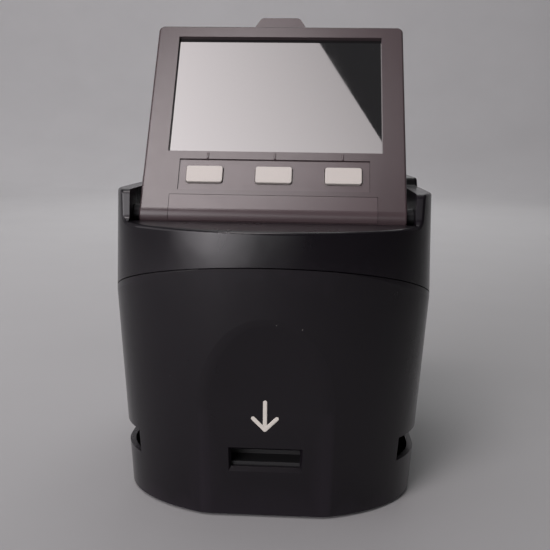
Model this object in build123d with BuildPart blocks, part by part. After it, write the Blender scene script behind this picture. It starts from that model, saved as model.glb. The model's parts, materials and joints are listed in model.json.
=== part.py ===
from build123d import *
import os
from math import atan, cos, degrees, radians, sin, sqrt, tan

os.makedirs("parts", exist_ok=True)

# A desktop scanner for photographic film and slides.
# Frame: +Z up, the front faces -Y, +X to the right of someone facing it.
# The origin is on the table, under the middle of the housing. Millimetres and degrees.

# ---- display: the housing is sized around it -------------------------------
display_half_width = 49.3
display_length = 82.0      # from the hinge line to the top edge
display_half_depth = 5.5   # from the hinge line to either side, and the barrel's radius
display_tilt = 58.85       # above horizontal, as it stands in use
closed_tilt = 6.0          # slope of the well floor under the closed display
hinge_y = -31.7
deck_z = 105.0             # flat shelf in front of the display
hinge_rise = 2.0           # hinge line above the shelf
hinge_z = deck_z + hinge_rise

# ---- housing ---------------------------------------------------------------
well_gap = 2.7             # from the display's side to the side of the well
side_wall = 8.0            # from the well to the flank, at the crease
tab_room = 6.7             # from the closed display to the back of the well
back_wall = 8.0
well_half_width = display_half_width + well_gap
well_back_y = hinge_y + display_length + tab_room
half_width = well_half_width + side_wall     # at the crease, the widest level
back_y = well_back_y + back_wall
widest_y = -26.0           # plan line where the elliptic nose meets the flanks
seam_z = 77.3              # height of the crease on the flanks and back
seam_rise = 15.7           # how far the crease climbs to the middle of the front
nose_depth = 39.0          # from the widest line to the front, at the crease
corner_radius = 17.0
flank_draw = 3.5           # the flanks close in by this much towards the back
back_bow = 2.5
foot_height = 1.0
foot_draw = 4.8            # the tapered half is this much narrower at its foot
nose_draw = 2.7
back_draw = 2.0
base_half_width = half_width - foot_draw
base_nose_depth = nose_depth - nose_draw
base_back_y = back_y - back_draw
upper_side_draft = 0.0275  # inward lean of the upper half, mm per mm of height
upper_nose_draft = 0.06
upper_back_draft = 0.02
housing_wall = 2.2
shadow_gap = 0.4           # open line between the two housings
tongue_height = 3.0
tongue_wall = 1.5
fit = 0.15                 # clearance between seated mouldings
overshoot = 20.0           # how far cutting tools reach past the housing

# ---- top of the upper housing ----------------------------------------------
ear_reach = 9.3            # side walls beside the hinge start this far before it
ear_rise = 9.6
ear_front_y = hinge_y - ear_reach
ear_lean = 1.6
ear_z = hinge_z + ear_rise
shoulder_y = 8.0           # higher side walls beside the closed display
shoulder_rise = 3.4
shoulder_z = ear_z + shoulder_rise
well_corner = 12.0
scoop_half_width = 17.0
scoop_rise = 5.0
scoop_z = hinge_z + scoop_rise
scoop_round = 6.0
ear_cove = 3.0
ear_round = 2.0
top_round = 1.2            # outer edge of the shelf, ears and shoulders

# ---- display details -------------------------------------------------------
display_corner = 2.5
bezel_wall = 1.8
display_clearance = 0.6    # between the display and the well around it
tab_base = 21.0
tab_top = 15.4
tab_height = 4.9
tab_thickness = 3.0
window_margin = 8.6        # from the display's side to the window
window_top = 5.3
window_half_width = display_half_width - window_margin
window_low = 24.0
window_high = display_length - window_top
glass_lap = 1.4
glass_thickness = 1.2
screen_thickness = 2.8
key_panel_margin = 13.5
key_panel_half_width = display_half_width - key_panel_margin
key_panel_low = 7.7
key_panel_high = 20.7
key_panel_sink = 0.6
key_width = 13.7
key_height = 6.8
key_margin = 9.8           # from the key panel's end to the middle of the outer key
key_spacing = key_panel_half_width - key_margin
key_level = 14.2           # middle of the keys above the hinge line
key_proud = 1.0
key_travel = 0.6
key_gap = 0.25
key_corner = 1.0
key_foot = 0.8
key_edge = 0.3
key_panel_flange = 1.2
key_panel_lap = 1.0
key_board_top = 0.3
key_board_half = 4.6
dome_radius = 2.4
dome_height = 0.5
rim_round = 0.8
back_round = 1.4
display_boss_radius = 2.2
screen_rib_inset = 10.7    # ribs behind the screen, from the window's sides
display_boss_margin = 3.0
screen_foot = 1.2
strip_gap = 0.15
washer_radius = 3.6
strip_margin = 10.8
strip_half_width = display_half_width - strip_margin
strip_high = 5.6
strip_thickness = 1.2
strip_wrap = 48.0          # how far the strip wraps under the barrel
hinge_pin_radius = 2.5
pin_fit = 0.05
pin_reach = 9.0            # length of each hinge pin inside the barrel
pin_seat = 4.6             # and inside the side wall
screw_radius = 1.1
screw_head_radius = 2.0
screw_head = 1.2
screw_slot = 0.5
screw_length = 8.0
board_screw_length = 3.5

# ---- lower housing ---------------------------------------------------------
facet_y = -59.4            # front flat, at table level
facet_lean = 0.029
facet_bend_z = 40.0        # where the flat starts to curve out
facet_bend_radius = 200.0
facet_soft_edge = 16.0
facet_sweep = 18.0
slot_half_width = 12.35    # finger slot
slot_low = 19.4
slot_high = 26.0
slot_chamfer = 1.1
slot_front = 0.4           # the lip's slope starts this far in front of the facet
slot_lip = 2.2             # height of the sloping lower lip
film_low = 17.6            # film channel, from side to side
film_high = 24.0
film_front_y = -35.0
film_back_y = 25.0
mouth_front_y = -45.0      # the wider mouths of the channel in the flanks
mouth_back_y = 35.0
mouth_low = 17.4
mouth_high = 26.5
base_thickness = 2.2
front_boss_inset = 10.0    # screw bosses, from the sides and back of the foot
back_boss_inset = 7.4
front_boss_y = -39.5
back_boss_margin = 21.0
front_foot_inset = 17.2
back_foot_inset = 13.2
back_foot_margin = 33.0
base_boss_radius = 3.6
base_boss_top = 12.6
foot_radius = 6.0
shelf_x = 27.0             # shelves that carry the film gate
shelf_half_width = 5.0
shelf_drop = 5.0
shelf_front_y = -46.0
shelf_back_margin = 19.0
shelf_back_y = back_y - shelf_back_margin
screw_margin = 2.5         # from a shelf's edge to its screw
boss_bite = 1.0            # how far a boss runs into the wall behind it

# ---- film stage and its lever ----------------------------------------------
optical_y = -5.0
stage_travel = 2.0
running_fit = 0.1
bed_thickness = 2.0
bed_inset = 13.0           # from the flank at the crease to the bed
bed_half_width = half_width - bed_inset
bed_half_depth = 34.0
light_box_z = 5.6
light_box_half_x = 31.0
light_box_half_y = 27.0
light_box_wall = 1.8
window_half_x = 19.0
window_half_y = 13.5
diffuser_thickness = 2.0
diffuser_lap = 2.2
thin_board = 1.2           # boards of the light-emitting diodes and of the keys
led_rows = 3
led_size = 4.0
led_height = 1.0
led_pitch = 14.0
post_inset = 7.0
post_x = bed_half_width - post_inset
post_y = 22.0
post_radius = 2.0
post_top = 13.0
sleeve_radius = 3.8
sleeve_low = 8.0
bed_corner = 3.0
rail_width = 3.0
rail_drop = 3.4
mouth_wall_front = -48.5
cup_core_pitch = 9.0
spring_x = 22.0
spring_reach = 16.0
cup_half_width = 15.6
cup_wall = 2.0
cup_depth = 9.3
cup_low = 13.6
cup_high = 30.4
cup_floor = 20.6
arm_half_width = 12.0
arm_thickness = 2.5
spring_width = 8.0
spring_leaf = 0.4

# ---- optics and boards -----------------------------------------------------
gate_thickness = 2.5
gate_half_width = 33.0
gate_front_y = -52.0
gate_back_margin = 11.0
gate_back_y = back_y - gate_back_margin
gate_notch = 1.0           # clearance of the gate round the lever
mouth_wall_inset = 4.6     # curved walls just inside the mouths
mouth_wall = 1.8
tower_foot = 2.0
tower_foot_half = 26.5
tower_low_half = 22.0
tower_top_half = 12.0
tower_top_z = 68.0
tower_wall = 1.8
tower_cap = 2.4
tower_cap_half = 15.0
tower_screw = 24.0
lens_radius = 8.0
lens_bore = 6.0
lens_low = 62.0
lens_high = 78.0
lens_flange_radius = 10.0
lens_flange = 2.0
lens_lip = 0.8
glass_radius = 5.9
glass_edge = 1.6
glass_bulge = 0.7
lens_curve = (glass_radius**2 + glass_bulge**2) / (2 * glass_bulge)
board_thickness = 1.6
sensor_board_half = 15.0
sensor_post = 12.4
sensor_post_radius = 2.0
sensor_screw_radius = 0.8
sensor_screw_length = 4.0
sensor_size = 7.6
sensor_thickness = 1.2
main_board_inset = 10.4
main_board_y = back_y - main_board_inset
main_board_half = 40.0
main_board_low = 34.0
main_board_high = 72.0
board_boss_x = 34.0
board_boss_low = 38.0
board_boss_high = 68.0
board_boss_radius = 3.0
port_z = 46.0
port_clearance = 0.3
port_face = 1.2            # how far the sockets lie inside the back wall
seat_lean = 0.9            # the back wall leans in by this much at socket level
socket_lining = 0.5
tongue_plate = 0.7
usb_x = -22.0
usb_width = 8.0
usb_height = 3.2
video_x = -2.0
video_width = 11.2
video_height = 3.6
jack_x = 16.0
jack_radius = 2.9
jack_bore = 1.75
card_x = -6.0
card_z = 60.0
card_width = 26.0
card_height = 3.4
power_y = 17.0
power_rise = 4.5
power_z = hinge_z + power_rise
power_radius = 3.4
power_flange = 0.8
power_travel = 0.6
power_proud = 0.5
power_floor = 1.3          # from the side of the well to the floor of the pocket
power_floor_x = well_half_width + power_floor
power_pocket = 4.6
power_lid = 1.2
switch_height = 1.2


def save(piece, name):
    """Label one finished piece and write it under its own name."""
    piece.part.label = name
    export_step(piece.part, f"parts/{name}.step")


sky_z = shoulder_z + overshoot


# ---- housing forms ---------------------------------------------------------
def plan_outline(height, half, nose, back, corner):
    """One level of the housing: elliptic nose, bowed flanks and a bowed back."""
    flank = half - flank_draw
    flank_end = back - back_bow
    with BuildSketch(Plane.XY.offset(height)) as outline:
        with BuildLine():
            EllipticalCenterArc((0, widest_y), half, nose, start_angle=180, arc_size=180)
            TangentArc((half, widest_y), (flank, flank_end), tangent=(0, 1))
            ThreePointArc((flank, flank_end), (0, back), (-flank, flank_end))
            TangentArc((-half, widest_y), (-flank, flank_end), tangent=(0, 1))
        make_face()
        fillet(outline.vertices().sort_by(Axis.Y)[-2:], corner)
    return outline.sketch


def tapered_level(height, inset):
    """A level of the lower half, which narrows towards the table."""
    share = height / seam_z
    nose_share = height / (seam_z + seam_rise)
    return plan_outline(
        height,
        base_half_width + (half_width - base_half_width) * share - inset,
        base_nose_depth + (nose_depth - base_nose_depth) * nose_share - inset,
        base_back_y + (back_y - base_back_y) * share - inset,
        corner_radius - inset,
    )


def drafted_half_width(height):
    """Half the width of the upper half at its widest line."""
    return half_width - upper_side_draft * (height - seam_z)


def drafted_level(height, inset):
    """A level of the upper half, which narrows towards the top."""
    above = height - seam_z
    return plan_outline(
        height,
        drafted_half_width(height) - inset,
        nose_depth - upper_nose_draft * (above - seam_rise) - inset,
        back_y - upper_back_draft * above - inset,
        corner_radius - inset,
    )


def drafted_form(inset):
    """The whole upper form, which leans in towards the top."""
    with BuildPart() as form:
        loft(
            [drafted_level(height, inset) for height in (foot_height, shoulder_z + overshoot)],
            ruled=True,
        )
    return form.part


def housing_form(inset):
    """Both halves meet in the crease, so the form is what they share."""
    with BuildPart() as form:
        loft(
            [tapered_level(height, inset) for height in (foot_height, shoulder_z + overshoot)],
            ruled=True,
        )
        add(drafted_form(inset), mode=Mode.INTERSECT)
    return form.part


def above_seam(raised=0.0):
    """Everything over the parting face: level, then climbing to the front."""
    front = -back_y - overshoot
    climb = seam_rise / nose_depth
    with BuildPart() as zone:
        with BuildSketch(Plane.YZ):
            with BuildLine():
                Polyline(
                    (back_y + overshoot, seam_z + raised),
                    (widest_y, seam_z + raised),
                    (front, seam_z + raised + climb * (widest_y - front)),
                    (front, sky_z),
                    (back_y + overshoot, sky_z),
                    close=True,
                )
            make_face()
        extrude(amount=half_width + overshoot, both=True)
    return zone.part


outer_form = housing_form(0)
inner_form = housing_form(housing_wall)


def facet_cutter(depth):
    """Space in front of the facet: a leaning flat that curves out above its bend."""
    bend_y = facet_y - facet_lean * facet_bend_z + depth
    lean = degrees(atan(facet_lean))
    with BuildPart() as cutter:
        with BuildSketch(Plane.YZ):
            with BuildLine():
                flat = Line((facet_y + depth, 0), (bend_y, facet_bend_z))
                curve = JernArc(flat @ 1, flat % 1, facet_bend_radius, facet_sweep)
                Polyline(
                    curve @ 1,
                    (facet_y - half_width, (curve @ 1).Y),
                    (facet_y - half_width, 0),
                    flat @ 0,
                )
            make_face()
        extrude(amount=half_width, both=True)
    return cutter.part


def facet_line(height):
    """Front of the facet at a height below its bend."""
    return facet_y - facet_lean * height


# ---- lower housing ---------------------------------------------------------
rim_form = housing_form(housing_wall / 2)
slot_y = facet_line(slot_low)
base_screw_places = [
    (side * (base_half_width - inset), y)
    for inset, y in (
        (front_boss_inset, front_boss_y),
        (back_boss_inset, back_y - back_boss_margin),
    )
    for side in (-1, 1)
]
foot_places = [
    (side * (base_half_width - inset), y)
    for inset, y in (
        (front_foot_inset, widest_y),
        (back_foot_inset, back_y - back_foot_margin),
    )
    for side in (-1, 1)
]
base_top = foot_height + base_thickness
board_back = main_board_y + board_thickness
board_places = [
    (side * board_boss_x, height)
    for side in (-1, 1)
    for height in (board_boss_low, board_boss_high)
]
gate_screw_places = [
    (side * shelf_x, y)
    for side in (-1, 1)
    for y in (shelf_front_y - screw_margin, shelf_back_y + screw_margin)
]


def slot_outline(offset, grow_side, grow_low, grow_high):
    """Finger slot as seen from the front, on a plane that far in front of the origin."""
    with BuildSketch(Plane.XZ.offset(offset)) as outline:
        with BuildLine():
            Polyline(
                (-slot_half_width - grow_side, slot_low - grow_low),
                (slot_half_width + grow_side, slot_low - grow_low),
                (slot_half_width + grow_side, slot_high + grow_high),
                (-slot_half_width - grow_side, slot_high + grow_high),
                close=True,
            )
        make_face()
    return outline.sketch


def back_openings(clearance):
    """Outlines of the sockets in the back wall, drawn looking along -Y."""
    with BuildSketch(Plane.XZ) as outlines:
        with Locations((usb_x, port_z)):
            RectangleRounded(usb_width + 2 * clearance, usb_height + 2 * clearance, 1)
        with Locations((video_x, port_z)):
            RectangleRounded(video_width + 2 * clearance, video_height + 2 * clearance, 1)
        with Locations((jack_x, port_z)):
            Circle(jack_radius + clearance)
        with Locations((card_x, card_z)):
            RectangleRounded(card_width + 2 * clearance, card_height + 2 * clearance, 0.6)
    return outlines.sketch


def lower_cavity():
    """Inside of the lower housing, which follows the facet too."""
    with BuildPart() as cavity:
        add(inner_form)
        add(facet_cutter(housing_wall), mode=Mode.SUBTRACT)
    return cavity.part


def shadow_line():
    """The outer half of the wall stops short of the upper housing."""
    with BuildPart() as shadow:
        add(above_seam(-shadow_gap))
        add(rim_form, mode=Mode.SUBTRACT)
    return shadow.part


def mouth_outline(grow):
    """Space of both mouths of the film channel, grown to every side."""
    with BuildPart() as mouths:
        with BuildSketch(Plane.XY.offset(mouth_low - grow)):
            with Locations((0, (mouth_front_y + mouth_back_y) / 2)):
                Rectangle(3 * half_width, mouth_back_y - mouth_front_y + 2 * grow)
        extrude(amount=mouth_high - mouth_low + 2 * grow)
    return mouths.part


def gate_shelves():
    """Shelves on the front and back walls that carry the film gate."""
    with BuildPart() as shelves:
        with BuildSketch(Plane.XY.offset(film_high)):
            for side in (-1, 1):
                with Locations((side * shelf_x, shelf_front_y), (side * shelf_x, shelf_back_y)):
                    Rectangle(2 * shelf_half_width, 2 * nose_depth)
        extrude(amount=-shelf_drop)
        with BuildSketch(Plane.XY.offset(film_high)):
            with Locations((0, (shelf_front_y + shelf_back_y) / 2)):
                Rectangle(2 * half_width, shelf_back_y - shelf_front_y)
        extrude(amount=-shelf_drop, mode=Mode.SUBTRACT)
        add(rim_form, mode=Mode.INTERSECT)
        add(facet_cutter(housing_wall / 2), mode=Mode.SUBTRACT)
    return shelves.part


def port_cuts():
    """Openings for the sockets, through the back wall only."""
    with BuildPart() as cuts:
        extrude(back_openings(port_clearance), amount=-2 * back_y)
        with BuildSketch(Plane.XY):
            with Locations((0, board_back)):
                Rectangle(2 * half_width, 2 * half_width, align=(Align.CENTER, Align.MIN))
        extrude(amount=seam_z, mode=Mode.INTERSECT)
    return cuts.part


with BuildPart() as lower_housing:
    add(outer_form)
    add(facet_cutter(0), mode=Mode.SUBTRACT)
    facet_edges = lower_housing.edges().filter_by(
        lambda edge: edge.length > half_width / 2
        and foot_height < edge.center().Z < seam_z
        and edge.center().Y < facet_y
        and abs(edge.center().Z - facet_bend_z) > foot_height
    )
    fillet(facet_edges, facet_soft_edge)
    add(above_seam(), mode=Mode.SUBTRACT)
    add(lower_cavity(), mode=Mode.SUBTRACT)
    add(shadow_line(), mode=Mode.SUBTRACT)
    add(mouth_outline(0), mode=Mode.SUBTRACT)
    # finger slot with a sloping lip
    loft(
        [
            slot_outline(-slot_y + slot_front, slot_chamfer, slot_lip, slot_chamfer),
            slot_outline(-slot_y - slot_chamfer, 0, 0, 0),
        ],
        ruled=True,
        mode=Mode.SUBTRACT,
    )
    extrude(slot_outline(-slot_y, 0, 0, 0), amount=-2 * housing_wall, mode=Mode.SUBTRACT)
    add(gate_shelves())
    # bosses for the base plate and the main board
    with BuildSketch(Plane.XY.offset(base_top)):
        with Locations(*base_screw_places):
            Circle(base_boss_radius)
    extrude(amount=base_boss_top - base_top)
    with BuildSketch(Plane.XZ.offset(-board_back)):
        with Locations(*board_places):
            Circle(board_boss_radius)
    extrude(amount=-(back_y - board_back - back_bow - boss_bite))
    add(port_cuts(), mode=Mode.SUBTRACT)
    # screw holes
    with BuildSketch(Plane.XY.offset(base_top)):
        with Locations(*base_screw_places):
            Circle(screw_radius + pin_fit)
    extrude(amount=screw_length, mode=Mode.SUBTRACT)
    with BuildSketch(Plane.XY.offset(film_high)):
        with Locations(*gate_screw_places):
            Circle(screw_radius + pin_fit)
    extrude(amount=-shelf_drop, mode=Mode.SUBTRACT)
    with BuildSketch(Plane.XZ.offset(-board_back)):
        with Locations(*board_places):
            Circle(screw_radius + pin_fit)
    extrude(amount=-board_screw_length, mode=Mode.SUBTRACT)
save(lower_housing, "lower_housing")


# ---- upper housing ---------------------------------------------------------
closed_slope = tan(radians(closed_tilt))
trough_radius = display_half_depth + display_clearance
trough_front_y = hinge_y - sqrt(trough_radius**2 - (hinge_z - deck_z) ** 2)
floor_start_y = hinge_y + trough_radius * sin(radians(closed_tilt))
floor_start_z = hinge_z - trough_radius * cos(radians(closed_tilt))
floor_end_z = floor_start_z + closed_slope * (well_back_y - floor_start_y)
def on_cross_line(edge):
    """Whether an edge runs straight across, from flank to flank."""
    return edge.geom_type == GeomType.LINE and edge.length > half_width


with BuildPart() as well:
    with BuildSketch(Plane.YZ):
        with BuildLine():
            trough = CenterArc(
                (hinge_y, hinge_z),
                trough_radius,
                180 + degrees(atan((hinge_z - deck_z) / (hinge_y - trough_front_y))),
                90 + closed_tilt - degrees(atan((hinge_z - deck_z) / (hinge_y - trough_front_y))),
            )
            Polyline(
                trough @ 1,
                (well_back_y, floor_end_z),
                (well_back_y, sky_z),
                (-back_y - overshoot, sky_z),
                (-back_y - overshoot, deck_z),
                trough @ 0,
            )
        make_face()
    extrude(amount=well_half_width, both=True)
    fillet(well.edges().filter_by(Axis.Z).sort_by(Axis.Y)[-2:], well_corner)

def upper_cavity():
    """Hollow under the shelf and the well floor."""
    with BuildPart() as cavity:
        add(inner_form)
        with BuildSketch(Plane.YZ):
            with BuildLine():
                Polyline(
                    (-back_y - overshoot, deck_z - housing_wall),
                    (trough_front_y - housing_wall, deck_z - housing_wall),
                    (trough_front_y, hinge_z - trough_radius - housing_wall),
                    (floor_start_y, floor_start_z - housing_wall),
                    (
                        well_back_y + overshoot,
                        floor_end_z - housing_wall + overshoot * closed_slope,
                    ),
                    (well_back_y + overshoot, sky_z),
                    (-back_y - overshoot, sky_z),
                    close=True,
                )
            make_face()
        extrude(amount=half_width + overshoot, both=True, mode=Mode.SUBTRACT)
    return cavity.part


def seam_ring(outside, low):
    """A ring of the wall from below the parting face up to the tongue's root."""
    with BuildPart() as ring:
        add(outside)
        add(above_seam(low), mode=Mode.INTERSECT)
        add(above_seam(tongue_wall), mode=Mode.SUBTRACT)
        add(housing_form(housing_wall + fit + tongue_wall), mode=Mode.SUBTRACT)
    return ring.part


with BuildPart() as upper_housing:
    add(outer_form)
    add(above_seam(), mode=Mode.INTERSECT)
    # stepped top: shelf, ears beside the hinge, shoulders beside the closed display
    with BuildSketch(Plane.YZ):
        with BuildLine():
            steps = FilletPolyline(
                (-back_y - overshoot, deck_z),
                (ear_front_y, deck_z),
                (ear_front_y + ear_lean, ear_z),
                (shoulder_y, ear_z),
                (shoulder_y + ear_lean, shoulder_z),
                (back_y + overshoot, shoulder_z),
                radius=[ear_cove, ear_round, ear_round / 2, ear_round],
            )
            Polyline(
                steps @ 1,
                (back_y + overshoot, sky_z),
                (-back_y - overshoot, sky_z),
                steps @ 0,
            )
        make_face()
    extrude(amount=half_width + overshoot, both=True, mode=Mode.SUBTRACT)
    top_edges = upper_housing.edges().filter_by(
        lambda edge: edge.center().Z > deck_z - fit and not on_cross_line(edge)
    )
    fillet(top_edges, top_round)
    add(well.part, mode=Mode.SUBTRACT)
    # finger scoop behind the tab of the closed display
    with BuildSketch(Plane.XZ.offset(-well_back_y + boss_bite)) as scoop:
        with Locations((0, scoop_z)):
            Rectangle(2 * scoop_half_width, sky_z, align=(Align.CENTER, Align.MIN))
        fillet(scoop.vertices().group_by(Axis.Y)[0], scoop_round)
    extrude(amount=-2 * corner_radius, mode=Mode.SUBTRACT)
    add(upper_cavity(), mode=Mode.SUBTRACT)
    # tongue that drops inside the lower housing, and the ring that carries it
    add(seam_ring(housing_form(housing_wall + fit), -tongue_height))
    add(seam_ring(rim_form, 0))
    # bores for the hinge pins, and the pocket of the power button
    with BuildSketch(Plane.YZ):
        with Locations((hinge_y, hinge_z)):
            Circle(hinge_pin_radius + pin_fit)
    extrude(amount=well_half_width + pin_seat, both=True, mode=Mode.SUBTRACT)
    with BuildSketch(Plane.YZ.offset(power_floor_x)):
        with Locations((power_y, power_z)):
            Circle(power_radius + power_flange + running_fit)
    extrude(amount=power_pocket - power_lid, mode=Mode.SUBTRACT)
    with BuildSketch(Plane.YZ.offset(power_floor_x)):
        with Locations((power_y, power_z)):
            Circle(power_radius + running_fit)
    extrude(amount=2 * power_pocket, mode=Mode.SUBTRACT)
save(upper_housing, "upper_housing")


# ---- base plate, feet and their screws -------------------------------------
with BuildPart() as base_plate:
    add(housing_form(housing_wall + fit))
    add(facet_cutter(housing_wall + fit), mode=Mode.SUBTRACT)
    with BuildSketch(Plane.XY.offset(base_top)):
        Rectangle(3 * half_width, 3 * half_width)
    extrude(amount=sky_z, mode=Mode.SUBTRACT)
    # guide posts for the film stage
    post_places = [(x, optical_y + y) for x in (-post_x, post_x) for y in (-post_y, post_y)]
    with BuildSketch(Plane.XY.offset(base_top)):
        with Locations(*post_places):
            Circle(post_radius)
    extrude(amount=post_top - base_top)
    with BuildSketch(Plane.XY):
        with Locations(*base_screw_places):
            Circle(screw_radius + pin_fit)
    extrude(amount=base_boss_top, mode=Mode.SUBTRACT)
    with BuildSketch(Plane.XY):
        with Locations(*base_screw_places):
            Circle(screw_head_radius + fit)
    extrude(amount=foot_height + screw_head, mode=Mode.SUBTRACT)
save(base_plate, "base_plate")

with BuildPart() as rubber_feet:
    with BuildSketch(Plane.XY):
        with Locations(*foot_places):
            Circle(foot_radius)
    extrude(amount=foot_height)
    fillet(rubber_feet.edges().group_by(Axis.Z)[0], foot_height / 2)
save(rubber_feet, "rubber_feet")


def pan_screws(plane, places, length):
    """Pan-head screws that all enter a plane along its own direction."""
    with BuildPart() as screws:
        with BuildSketch(plane):
            with Locations(*places):
                Circle(screw_radius)
        extrude(amount=length)
        with BuildSketch(plane):
            with Locations(*places):
                Circle(screw_head_radius)
        extrude(amount=-screw_head)
        heads = screws.edges().filter_by(GeomType.CIRCLE)
        rims = heads.filter_by(lambda edge: edge.radius > (screw_radius + screw_head_radius) / 2)
        outer_rims = rims.filter_by(
            lambda edge: plane.to_local_coords(edge.center()).Z < -screw_head / 2
        )
        fillet(outer_rims, screw_head / 3)
        with BuildSketch(plane.offset(-screw_head)):
            with Locations(*places):
                Rectangle(2 * screw_radius, screw_slot)
        extrude(amount=screw_head / 2, mode=Mode.SUBTRACT)
    return screws


base_screws = pan_screws(
    Plane.XY.offset(foot_height + screw_head),
    base_screw_places,
    base_thickness - screw_head + screw_length - fit,
)
save(base_screws, "base_screws")

# ---- film stage: light box, bed and lever ----------------------------------
bed_low = film_low - bed_thickness
cup_front_y = facet_line(cup_low) + housing_wall + 2 * fit
sleeve_bore = post_radius + running_fit

with BuildPart() as film_bed:
    with BuildSketch(Plane.XY.offset(bed_low)) as bed:
        with Locations((0, optical_y)):
            RectangleRounded(2 * bed_half_width, 2 * bed_half_depth, bed_corner)
            Rectangle(2 * window_half_x, 2 * window_half_y, mode=Mode.SUBTRACT)
    extrude(amount=bed_thickness)
    window_rim = film_bed.edges().group_by(Axis.Z)[-1].filter_by(
        lambda edge: abs(edge.center().X) < window_half_x + 1
        and abs(edge.center().Y - optical_y) < window_half_y + 1
    )
    chamfer(window_rim, bed_thickness / 3)
    with BuildSketch(Plane.XY.offset(sleeve_low)):
        with Locations(*post_places):
            Circle(sleeve_radius)
    extrude(amount=bed_low - sleeve_low)
    with BuildSketch(Plane.XY.offset(sleeve_low)):
        with Locations(*post_places):
            Circle(sleeve_bore)
    extrude(amount=bed_low - sleeve_low, mode=Mode.SUBTRACT)
save(film_bed, "film_bed")

with BuildPart() as light_box:
    with BuildSketch(Plane.XY.offset(light_box_z)):
        with Locations((0, optical_y)):
            RectangleRounded(2 * light_box_half_x, 2 * light_box_half_y, bed_corner)
    extrude(amount=bed_low - light_box_z)
    well_x = light_box_half_x - light_box_wall
    well_y = light_box_half_y - light_box_wall
    with BuildSketch(Plane.XY.offset(bed_low)):
        with Locations((0, optical_y)):
            Rectangle(2 * well_x, 2 * well_y)
    extrude(amount=-diffuser_thickness, mode=Mode.SUBTRACT)
    with BuildSketch(Plane.XY.offset(light_box_z + light_box_wall)):
        with Locations((0, optical_y)):
            Rectangle(2 * (well_x - diffuser_lap), 2 * (well_y - diffuser_lap))
    extrude(amount=bed_low, mode=Mode.SUBTRACT)
save(light_box, "light_box")

with BuildPart() as diffuser:
    with BuildSketch(Plane.XY.offset(bed_low - diffuser_thickness)):
        with Locations((0, optical_y)):
            Rectangle(2 * (well_x - fit), 2 * (well_y - fit))
    extrude(amount=diffuser_thickness)
save(diffuser, "diffuser")

led_board_z = light_box_z + light_box_wall
with BuildPart() as led_board:
    with BuildSketch(Plane.XY.offset(led_board_z)):
        with Locations((0, optical_y)):
            Rectangle(2 * (well_x - diffuser_lap - fit), 2 * (well_y - diffuser_lap - fit))
    extrude(amount=thin_board)
save(led_board, "led_board")

with BuildPart() as leds:
    with BuildSketch(Plane.XY.offset(led_board_z + thin_board)):
        with Locations((0, optical_y)):
            with GridLocations(led_pitch, led_pitch, led_rows, led_rows):
                RectangleRounded(led_size, led_size, led_size / 8)
    extrude(amount=led_height)
save(leds, "leds")

with BuildPart() as tray_lever:
    # cup behind the finger slot, open to the front
    with BuildSketch(Plane.XZ.offset(-cup_front_y)) as cup:
        with Locations((0, (cup_low + cup_high) / 2)):
            RectangleRounded(2 * cup_half_width, cup_high - cup_low, cup_wall)
    extrude(amount=-cup_depth)
    with BuildSketch(Plane.XZ.offset(-cup_front_y)):
        with Locations((0, cup_floor)):
            Rectangle(
                2 * (cup_half_width - cup_wall),
                cup_high - cup_wall - cup_floor,
                align=(Align.CENTER, Align.MIN),
            )
    extrude(amount=cup_wall - cup_depth, mode=Mode.SUBTRACT)
    # the underside of the floor is cored out between two ribs
    with BuildSketch(Plane.XZ.offset(-cup_front_y)):
        for side in (-1, 0, 1):
            with Locations((side * cup_core_pitch, cup_low)):
                Rectangle(
                    cup_core_pitch - cup_wall,
                    cup_floor - cup_wall - cup_low,
                    align=(Align.CENTER, Align.MIN),
                )
    extrude(amount=cup_wall - cup_depth, mode=Mode.SUBTRACT)
    # arm that reaches under the bed
    with BuildSketch(Plane.XY.offset(bed_low)):
        with Locations((0, cup_front_y + cup_depth)):
            Rectangle(
                2 * arm_half_width,
                optical_y - light_box_half_y - fit - cup_front_y - cup_depth,
                align=(Align.CENTER, Align.MIN),
            )
    extrude(amount=cup_low - bed_low)
save(tray_lever, "tray_lever")

with BuildPart() as stage_springs:
    # two bowed leaves between the base plate and the light box
    for side in (-1, 1):
        leaf_x = side * spring_x
        with BuildSketch(Plane.YZ.offset(leaf_x)) as leaf:
            with BuildLine() as path:
                ThreePointArc(
                    (optical_y - spring_reach, base_top),
                    (optical_y, light_box_z - spring_leaf),
                    (optical_y + spring_reach, base_top),
                )
                ThreePointArc(
                    (optical_y - spring_reach, base_top + spring_leaf),
                    (optical_y, light_box_z),
                    (optical_y + spring_reach, base_top + spring_leaf),
                )
                Line(
                    (optical_y - spring_reach, base_top),
                    (optical_y - spring_reach, base_top + spring_leaf),
                )
                Line(
                    (optical_y + spring_reach, base_top),
                    (optical_y + spring_reach, base_top + spring_leaf),
                )
            make_face()
        extrude(amount=spring_width / 2, both=True)
save(stage_springs, "stage_springs")

# ---- film gate and optical tower -------------------------------------------
gate_top = film_high + gate_thickness

tower_screw_places = [
    (x, optical_y + y) for x in (-tower_screw, tower_screw) for y in (-tower_screw, tower_screw)
]


def mouth_walls():
    """Curved walls inside the front corners of the mouths."""
    with BuildPart() as walls:
        add(housing_form(mouth_wall_inset))
        add(housing_form(mouth_wall_inset + mouth_wall), mode=Mode.SUBTRACT)
        with BuildSketch(Plane.XY.offset(film_low + 2 * fit)):
            with Locations((0, mouth_wall_front)):
                Rectangle(
                    3 * half_width,
                    film_front_y - mouth_wall_front,
                    align=(Align.CENTER, Align.MIN),
                )
        extrude(amount=gate_top - film_low - 2 * fit, mode=Mode.INTERSECT)
    return walls.part


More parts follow.
